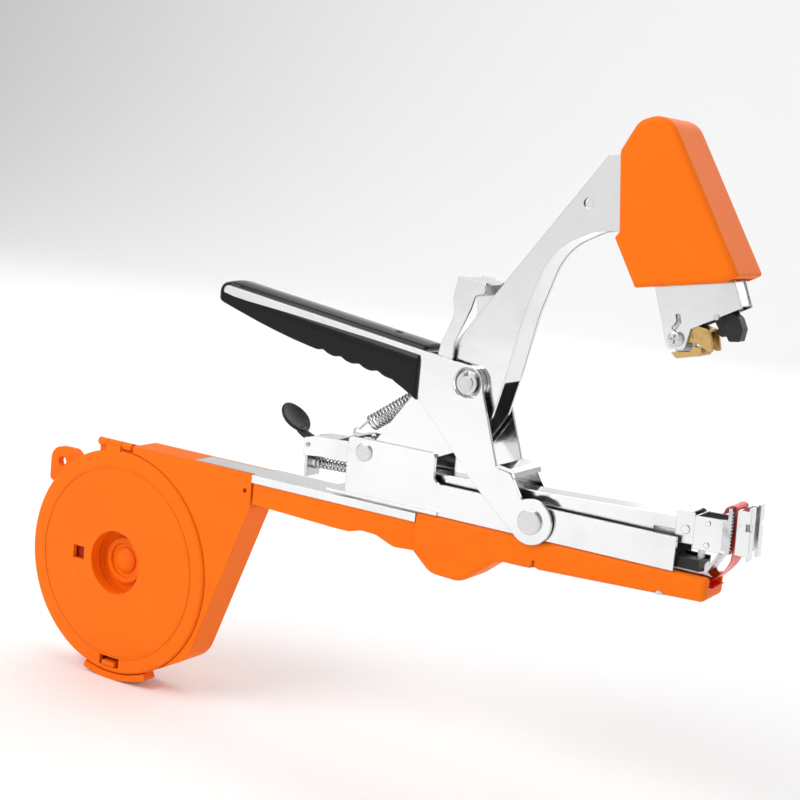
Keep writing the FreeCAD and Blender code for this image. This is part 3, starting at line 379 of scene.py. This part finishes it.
def dipped_vinyl():
    """Glossy dipped vinyl: flows a little unevenly, with a fine grain, smears and one drain hole."""
    f = Finish("dipped_vinyl", Coat_Roughness=0.12, Specular_IOR_Level=0.16)
    sag = f.noise(28, 2, 0.4)
    fine = f.noise(700, 2, 0.5)
    smear = f.band(f.noise(75, 4, 0.65, f.stretched(0.5, 1, 1)), 0.5, 0.8)
    apart = f.node("ShaderNodeVectorMath", {"operation": "DISTANCE"}, {0: f.where, 1: tuple(place(VENT))})
    vent = 1.0 - f.band(Signal(f, apart.outputs["Value"]), 0.0014, 0.0018)
    shade = f.blend(smear, colour(0.003, 0.003, 0.003), colour(0.008, 0.008, 0.009))
    height = sag + 0.04 * fine
    return f.done(Base_Color=shade, Roughness=0.15 + 0.12 * smear + 0.04 * fine + 0.7 * vent,
                  Coat_Weight=(0.16 - 0.1 * smear) * (1.0 - vent),
                  Normal=f.bump(height, 0.3, 0.0014, f.bump(1.0 - vent, 1.0, 0.002)))


def black_plastic():
    """Moulded black plastic with a matte grain and paler, smoother patches."""
    f = Finish("black_plastic", Specular_IOR_Level=0.4)
    grain = f.noise(1900, 3, 0.6)
    worn = f.band(f.noise(160, 4, 0.6), 0.55, 0.75)
    shade = f.blend(worn, colour(0.010, 0.010, 0.011), colour(0.030, 0.030, 0.031))
    return f.done(Base_Color=shade, Roughness=0.36 + 0.16 * grain - 0.1 * worn,
                  Normal=f.bump(grain, 0.3, 0.00015, f.soft_edges(0.0003)))


def bright_brass():
    """Stamped brass with rolled streaks, a little brown tarnish, and painted shade along its edges and in
    inside corners.
    """
    f = Finish("bright_brass", Metallic=1.0)
    streak = f.noise(700, 3, 0.6, f.stretched(1, 1, 0.15))
    tarnish = f.band(f.noise(260, 5, 0.65), 0.5, 0.8)
    shade = f.blend(tarnish, colour(0.62, 0.42, 0.16), colour(0.34, 0.20, 0.07))
    # Painted shade: the colour darkens to deep brown along sharp edges and into inside corners.
    shade = f.blend(f.edges(0.0003) * 0.6, shade, colour(0.16, 0.09, 0.03))
    return f.done(Base_Color=shade, Roughness=0.20 + 0.12 * streak + 0.25 * tarnish,
                  Normal=f.bump(streak, 0.2, 0.0002, f.soft_edges(0.0003)))


def staple_wires():
    """A glued stick of wire staples: one rounded ridge per wire along x, with painted shade in the grooves
    between wires.
    """
    pitch = 0.00055             # from wire to wire, in metres
    f = Finish("staple_wires", Metallic=1.0)
    parts = f.node("ShaderNodeSeparateXYZ", None, {"Vector": f.where})
    along = Signal(f, parts.outputs["X"])
    ridge = f.math("ABSOLUTE", f.math("SINE", along * (math.pi / pitch)))
    glue = f.noise(500, 3, 0.5)
    # Painted shade: the colour darkens into the grooves between wires and brightens on their crests.
    shade = f.blend(ridge, colour(0.30, 0.30, 0.31), colour(0.78, 0.78, 0.79))
    return f.done(Base_Color=shade, Roughness=0.24 + 0.2 * glue, Normal=f.bump(ridge, 0.7, 0.00025))


def red_film():
    """Thin stretched film: clear red with streaks along its length and milky creases."""
    f = Finish("red_film", Specular_IOR_Level=0.4)
    streak = f.noise(600, 3, 0.5, f.stretched(0.08, 1.4, 0.08))
    crease = f.band(f.noise(190, 4, 0.6), 0.6, 0.8)
    shade = f.blend(crease, colour(0.90, 0.010, 0.006), colour(0.98, 0.07, 0.045))
    return f.done(Base_Color=shade, Roughness=0.14 + 0.2 * streak, Alpha=0.84 + 0.14 * crease,
                  Normal=f.bump(streak, 0.3, 0.0002))


def wound_film():
    """The roll's side: hundreds of edges of film, seen as fine rings round the roll's axis."""
    pitch = 0.00032             # from ring to ring, in metres
    f = Finish("wound_film", Specular_IOR_Level=0.5)
    moved = f.node("ShaderNodeVectorMath", {"operation": "SUBTRACT"}, {0: f.where, 1: tuple(DATUM)})
    flat = f.node("ShaderNodeVectorMath", {"operation": "MULTIPLY"},
                  {0: Signal(f, moved.outputs[0]), 1: (1, 0, 1)})
    reach = f.node("ShaderNodeVectorMath", {"operation": "LENGTH"}, {0: Signal(f, flat.outputs[0])})
    radius = Signal(f, reach.outputs["Value"])
    rings = f.math("SINE", radius * (2 * math.pi / pitch) + 4.0 * f.noise(60, 2, 0.5))
    tone = f.noise(45, 3, 0.6)
    shade = f.blend(rings * 0.25 + tone * 0.6, colour(0.42, 0.010, 0.008), colour(0.78, 0.040, 0.028))
    return f.done(Base_Color=shade, Roughness=0.32 + 0.1 * tone, Normal=f.bump(rings, 0.35, 0.0001))


def core_plastic():
    """Pale moulded core with a fine grain and grey rub marks."""
    f = Finish("core_plastic", Specular_IOR_Level=0.45)
    grain = f.noise(1500, 3, 0.5)
    rub = f.band(f.noise(120, 4, 0.6), 0.5, 0.8)
    shade = f.blend(rub, colour(0.72, 0.70, 0.66), colour(0.52, 0.50, 0.47))
    return f.done(Base_Color=shade, Roughness=0.42 + 0.12 * grain, Normal=f.bump(grain, 0.25, 0.00015))


finishes = {
    "orange_plastic": orange_plastic(), "plated_steel": plated_sheet(), "steel": plain_steel(),
    "spring_wire": spring_wire(), "black_vinyl": dipped_vinyl(), "black_plastic": black_plastic(),
    "brass": bright_brass(), "staple_wire": staple_wires(), "red_tape": red_film(),
    "core_plastic": core_plastic()}
slots = {row["node"]: row["material_slot"] for row in frame["record"]["subparts"]}
for name, node in nodes.items():
    node.data.materials.clear()
    node.data.materials.append(finishes[slots[name]])
nodes["tape_roll"].data.materials[0] = wound_film()


def shown_as(made, slot, *replaced):
    """A new piece that stands for CAD nodes and hides them; its slot argument is not used."""
    if replaced:
        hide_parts(*replaced)
    return made


# ---- lever sleeve -------------------------------------------------------------------------------
def sleeve():
    """Dipped sleeve.  Its stations run from the tip forward.  Each is an upside-down U of closed
    outline: up the lid's side, over a rounded back, down the other side, round the lip and back
    along the inner wall.  The top and the lower edge follow two curves, and the edge has finger
    waves."""
    low, high = corners("handle_sleeve")
    tip, front, half = low[0], high[0], (high[1] - low[1]) / 2
    wall = 2.2
    wave_start, wave_end, wave_pitch, wave_depth = 92.0, 129.5, 8.3, 0.9
    x = tip + (front - tip) * np.linspace(0, 1, 170) ** 1.8
    top = np.interp(x, [tip, 49.0, front], [high[2] - 1.3, high[2] - 1.0, high[2] - 13.2]) + 0.9
    edge = curve([(tip, 116.6), (51.0, 114.0), (66.4, 109.4), (82.0, 105.5), (97.0, 102.6),
                  (112.0, 99.9), (125.0, 97.7), (131.0, 95.6), (front, 91.6)], 400)
    bottom = np.interp(x, edge[:, 0], edge[:, 1])
    waves = np.clip((x - wave_start) / 4.0, 0, 1) * np.clip((wave_end - x) / 3.0, 0, 1)
    bottom = bottom + wave_depth * waves * np.abs(np.cos(math.pi * (x - 96.3) / wave_pitch)) ** 3
    cap = np.sqrt(1 - (1 - np.minimum((x - tip) / 6.0, 1)) ** 2)
    width = half * cap ** 0.8 * (0.93 + 0.07 * np.clip((x - 60) / 60, 0, 1))
    low_z = (top + bottom) / 2 - (top - bottom) / 2 * cap ** 0.7
    top = (top + bottom) / 2 + (top - bottom) / 2 * cap ** 0.7
    turn = np.linspace(0, math.pi / 2, 9)[None, :]
    across = np.linspace(-1, 1, 7)[None, 1:-1]
    corner = np.minimum(np.minimum(6.6, width * 0.6), (top - low_z) * 0.7)[:, None]

    def arch(w, z_top, z_low, r):
        """Half-width w: straight sides, two quarter circles of radius r and a slightly raised back."""
        w, z_top, z_low = w[:, None], z_top[:, None], z_low[:, None]
        share = np.linspace(0, 1, 12)[None, :]
        rise = z_low + (z_top - r - z_low) * share
        left = np.stack([-w + 0 * rise, rise], -1)
        bend = np.stack([-w + r - r * np.cos(turn), z_top - r + r * np.sin(turn)], -1)
        crown = np.stack([(w - r) * across, z_top + 0.35 * (1 - across ** 2)], -1)
        half_profile = np.concatenate([left, bend[:, 1:]], 1)
        mirrored = half_profile[:, ::-1] * np.array([-1.0, 1.0])
        return np.concatenate([half_profile, crown, mirrored], 1)

    outer = arch(width, top, low_z, corner)
    hollow = np.clip((x - tip - 4.0) / 3.0, 0, 1)
    inner_w = np.maximum(width - wall, 0) * hollow
    inner_top = low_z + np.maximum(top - wall - 0.2 - low_z, 0) * hollow
    inner_corner = np.minimum(corner * hollow[:, None], inner_w[:, None] * 0.5)
    inner = arch(inner_w, inner_top, low_z, inner_corner)[:, ::-1]
    lip = np.stack([-(inner_w + width) / 2, low_z - 0.4 * cap], -1)[:, None]
    far_lip = lip * np.array([-1.0, 1.0])
    ring = np.concatenate([outer, far_lip, inner, lip], 1)
    stations = np.broadcast_to(x[:, None], ring.shape[:2])
    shell = np.stack([stations, ring[..., 0], ring[..., 1]], -1)
    count = outer.shape[1]
    rim = np.stack([shell[-1, :count], shell[-1, count + 1:-1][::-1]])
    made = piece("vinyl_sleeve", "lever", finishes["black_vinyl"], [shell], [rim])
    return shown_as(made, "black_vinyl", "handle_sleeve")


# ---- springs ------------------------------------------------------------------------------------
def hook(centre, radius, start, sweep, toward):
    """A part turn of wire in the x-z plane about centre, from angle start through sweep, led by a
    straight run from toward."""
    angle = np.radians(start + sweep * np.linspace(0, 1, 26))
    loop = np.stack([centre[0] + radius * np.cos(angle), np.full_like(angle, centre[1]),
                     centre[2] + radius * np.sin(angle)], -1)
    toward = np.asarray(toward, float)
    lead = toward + np.linspace(0, 1, 8)[:-1, None] * (loop[0] - toward)
    return np.concatenate([lead, loop])


def return_spring():
    """Close-wound tension spring with a long hook at the base and a short one on the arm's pin."""
    wire, coil_radius, turns = 0.45, 2.8, 13.5
    low, high = corners("base_frame")
    start = np.array([low[0] + 6.4, 0.0, high[2] + 0.6])
    low, high = corners("return_spring")
    end = np.array([high[0] - 0.6, 0.0, high[2] - 0.4])
    along = unit(end - start)
    a, b = start + along * 7.6, end - along * 3.0
    coil = tube(helix(a, b, coil_radius, turns, 24), wire, along, 10)
    first = tube(hook(start + [0, 0, -0.2], 1.5, 60, 250, a + [0, 0, 2.4]), wire, ACROSS, 10)
    last = tube(hook(end + along * 1.2, 1.6, 170, -250, b + [0, 0, 2.0]), wire, ACROSS, 10)
    made = piece("tension_spring", None, finishes["spring_wire"], [coil, first, last])
    tuple(place(start + along * 3))
    tuple(place(end - along))
    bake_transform(made)
    return shown_as(made, "spring_wire", "return_spring")


def pusher_spring():
    """Long compression spring on the guide rod, with closed end turns."""
    wire, coil_radius, turns = 0.32, 1.9, 34
    end_turns, closed_share = 2, 0.012
    low, high = corners("pusher_spring")
    y = (low[1] + high[1]) / 2
    slope = ((high[2] - low[2]) - 4.4) / (high[0] - low[0])
    a = np.array([low[0] + 0.4, y, low[2] + 2.2])
    b = np.array([high[0] - 0.4, y, low[2] + 2.2 + slope * (high[0] - low[0] - 0.8)])
    along = b - a
    wires = [tube(helix(a, b, coil_radius, turns), wire, along, 8)]
    for share in (0.0, 1 - closed_share):
        closed = helix(a + along * share, a + along * (share + closed_share), coil_radius, end_turns)
        wires.append(tube(closed, wire, along, 8))
    made = piece("pusher_coil", None, finishes["spring_wire"], wires)
    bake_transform(made)
    return shown_as(made, "spring_wire", "pusher_spring")


def lift_spring():
    """Short compression spring under the magazine."""
    wire, coil_radius, turns = 0.35, 2.35, 5
    low, high = corners("lift_spring")
    x, y = (low[0] + high[0]) / 2, (low[1] + high[1]) / 2
    a, b = np.array([x, y, low[2] + wire]), np.array([x, y, high[2] - wire])
    coil = tube(helix(a, b, coil_radius, turns), wire, (0, 0, 1), 10)
    made = piece("lift_coil", None, finishes["spring_wire"], [coil])
    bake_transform(made)
    return shown_as(made, "spring_wire", "lift_spring")


def catch_wire():
    """Hair spring that shows through the slot in the head bracket."""
    low, high = corners("catch_spring")
    y, half_way = (low[1] + high[1]) / 2, (low[2] + high[2]) / 2
    path = curve([(low[0] + 0.3, y, low[2]), (high[0] - 0.6, y, low[2] + 1.2),
                  (high[0] - 0.3, y, half_way), (high[0] - 0.8, y, high[2] - 0.8),
                  (high[0] - 0.35, y, high[2] - 0.2)], 40)
    made = piece("catch_wire", "arm", finishes["spring_wire"], [tube(path, 0.3, ACROSS, 10)])
    return shown_as(made, "spring_wire", "catch_spring")


# ---- tape ---------------------------------------------------------------------------------------
def tape():
    """The film from the roll to the nose: one strip on a smooth path, bent between base and magazine
    where it stands up in the gate, with its free end curled back over the toothed band."""
    half_width, thickness, crown = 5.3, 0.16, 0.12
    end_low, end_high = corners("tape_end")
    rail = drawn(rail_low)[2] + 0.9
    gate = (end_low[0] + end_high[0]) / 2 + 0.9
    top = end_high[2]
    run = np.array([[-6.4, 37.6], [61.0, rail], [150.0, rail], [245.0, rail], [250.3, rail + 0.4],
                    [254.6, rail + 4.0], [257.8, rail + 8.6], [gate, rail + 13.0],
                    [gate - 0.1, top - 3.0], [gate - 0.5, top - 0.7], [gate - 2.2, top - 0.3],
                    [gate - 3.8, top - 1.4], [gate - 4.6, top - 3.6]])
    strip = ribbon(curve(run, 420), half_width, thickness, crown)
    made = piece("tape_strip", None, finishes["red_tape"], [strip])
    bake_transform(made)
    return shown_as(made, "red_tape", "tape_lead", "tape_end")


# ---- release tab --------------------------------------------------------------------------------
def thumb_pad():
    """Oval spoon, dished on top with a rolled rim, on a neck that runs to the hinge barrel.  The dish is
    drawn as rings from the middle of the top out over the rim and back under it: each has its share
    of the pad's radius and its height."""
    half_long, half_wide, lean = 6.6, 6.9, math.radians(-42.8)
    hinge = middle("tab_pin")
    centre = hinge + [-11.3, 0.0, 7.1]
    ring = np.array([0.0, 0.3, 0.55, 0.75, 0.88, 0.96, 1.0, 0.985, 0.92, 0.75, 0.45, 0.0])
    rise = np.array([-0.9, -0.82, -0.55, -0.1, 0.35, 0.42, 0.0, -0.6, -1.1, -1.6, -1.9, -2.0])
    angle = np.linspace(0, 2 * math.pi, 48, endpoint=False)[None, :]
    wide = 1 + 0.06 * np.cos(2 * angle)
    x = half_long * ring[:, None] * np.cos(angle) * wide
    y = half_wide * ring[:, None] * np.sin(angle)
    z = rise[:, None] + 1.6
    pad = np.stack([centre[0] + x * math.cos(lean) - z * math.sin(lean), centre[1] + y,
                    centre[2] + x * math.sin(lean) + z * math.cos(lean)], -1)
    spine = curve([(centre[0] + 3.4, 0, centre[2] - 3.0), (centre[0] + 6.0, 0, centre[2] - 4.6),
                   (hinge[0] - 2.2, 0, hinge[2] + 1.2), (hinge[0], 0, hinge[2])], 20)
    neck = tube(spine, 1.5, ACROSS, 16)
    neck[..., 1] *= 1.5
    barrel = lathe([(0.85, -3.4), (1.6, -3.4), (1.9, -3.1), (1.9, 3.1), (1.6, 3.4), (0.85, 3.4),
                    (0.85, -3.4)], hinge, 32)
    toe = curve([(hinge[0], 0, hinge[2]), (hinge[0] + 3, 0, hinge[2] - 0.6),
                 (hinge[0] + 6, 0, hinge[2] + 0.1)], 12)
    latch = tube(toe, 0.9, ACROSS, 12)
    made = piece("thumb_pad", "tab", finishes["black_plastic"], [pad, neck, barrel, latch])
    return shown_as(made, "black_plastic", "release_tab")


# ---- stage --------------------------------------------------------------------------------------
def floor():
    """Pale sweep: a floor that curves up into a backdrop far behind the tool."""
    t = np.linspace(0, 1, 40)
    depth = np.concatenate([[-3000.0], 1500 + 1200 * np.sin(t * math.pi / 2), [2700.0]])
    height = np.concatenate([[0.0], 1200 * (1 - np.cos(t * math.pi / 2)), [4200.0]])
    side = np.array([-5000.0, 5000.0])
    grid = np.stack(np.broadcast_arrays(side[None, :], depth[:, None], height[:, None]), -1).copy()
    grid[..., 2] += drawn(cad_box[0])[2] - 0.05
    f = Finish("studio_paper", Roughness=0.9, Specular_IOR_Level=0.1)
    paper = f.noise(300, 3, 0.5)
    shade = f.blend(paper, colour(0.93, 0.93, 0.93), colour(0.96, 0.96, 0.96))
    made = piece("studio_floor", None, f.done(Base_Color=shade), sheets=[grid])


def lamp(name, centre, aim, size, power):
    """A rectangular lamp that faces a point: size in metres, power in watts."""
    data = bpy.data.lights.new(name, "AREA")
    data.shape = "RECTANGLE"
    data.size, data.size_y = size
    data.energy = power
    made = bpy.data.objects.new(name, data)
    bpy.context.scene.collection.objects.link(made)
    made.location = centre
    made.rotation_euler = (Vector(aim) - Vector(centre)).to_track_quat("-Z", "Y").to_euler()


def studio():
    """Pale sweep, five lamps round the tool, one on the backdrop, and a white surround."""
    low, high = cad_box
    aim = (low + high) / 2
    floor()
    lamp("key", aim + Vector((-0.45, -0.75, 0.75)), aim, (0.9, 0.6), 7.0)
    lamp("fill", aim + Vector((0.95, -0.55, 0.25)), aim, (0.5, 0.9), 1.8)
    lamp("top", aim + Vector((0.0, 0.15, 1.1)), aim, (1.3, 0.8), 5.5)
    lamp("back", aim + Vector((0.2, 1.1, 0.6)), aim, (1.4, 0.7), 3.0)
    lamp("panel", aim + Vector((-0.6, -1.0, 0.12)), aim, (1.1, 0.9), 1.7)
    lamp("wall", aim + Vector((-0.9, 0.6, 1.3)), aim + Vector((-1.3, 2.2, 0.4)), (2.4, 0.5), 22.0)
    world = bpy.data.worlds.new("studio")
    bpy.context.scene.world = world
    world.use_nodes = True
    surround = world.node_tree.nodes["Background"]
    surround.inputs["Color"].default_value = colour(1.0, 1.0, 1.0)
    surround.inputs["Strength"].default_value = 0.38


def camera():
    """Looks from 32 degrees round to the right of the lid's side and 9 degrees above, rolled by 5."""
    turn, rise, roll = (math.radians(v) for v in (31.73, 8.88, 5.38))
    back = Vector((math.sin(turn) * math.cos(rise), -math.cos(turn) * math.cos(rise), math.sin(rise)))
    right = Vector((math.cos(turn), math.sin(turn), 0))
    up = back.cross(right)
    across = right * math.cos(roll) + up * math.sin(roll)
    above = up * math.cos(roll) - right * math.sin(roll)
    data = bpy.data.cameras.new("camera")
    data.sensor_width = 36.0
    data.lens = 67.5
    data.clip_start = 0.02
    made = bpy.data.objects.new("camera", data)
    bpy.context.scene.collection.objects.link(made)
    basis = Matrix((across, above, back)).transposed().to_4x4()
    made.matrix_world = Matrix.Translation(place((410.8, -461.3, 173.0)).tolist()) @ basis
    bpy.context.scene.camera = made


sleeve()
return_spring()
pusher_spring()
lift_spring()
catch_wire()
tape()
thumb_pad()
studio()
camera()
bpy.context.scene.view_settings.view_transform = "Standard"
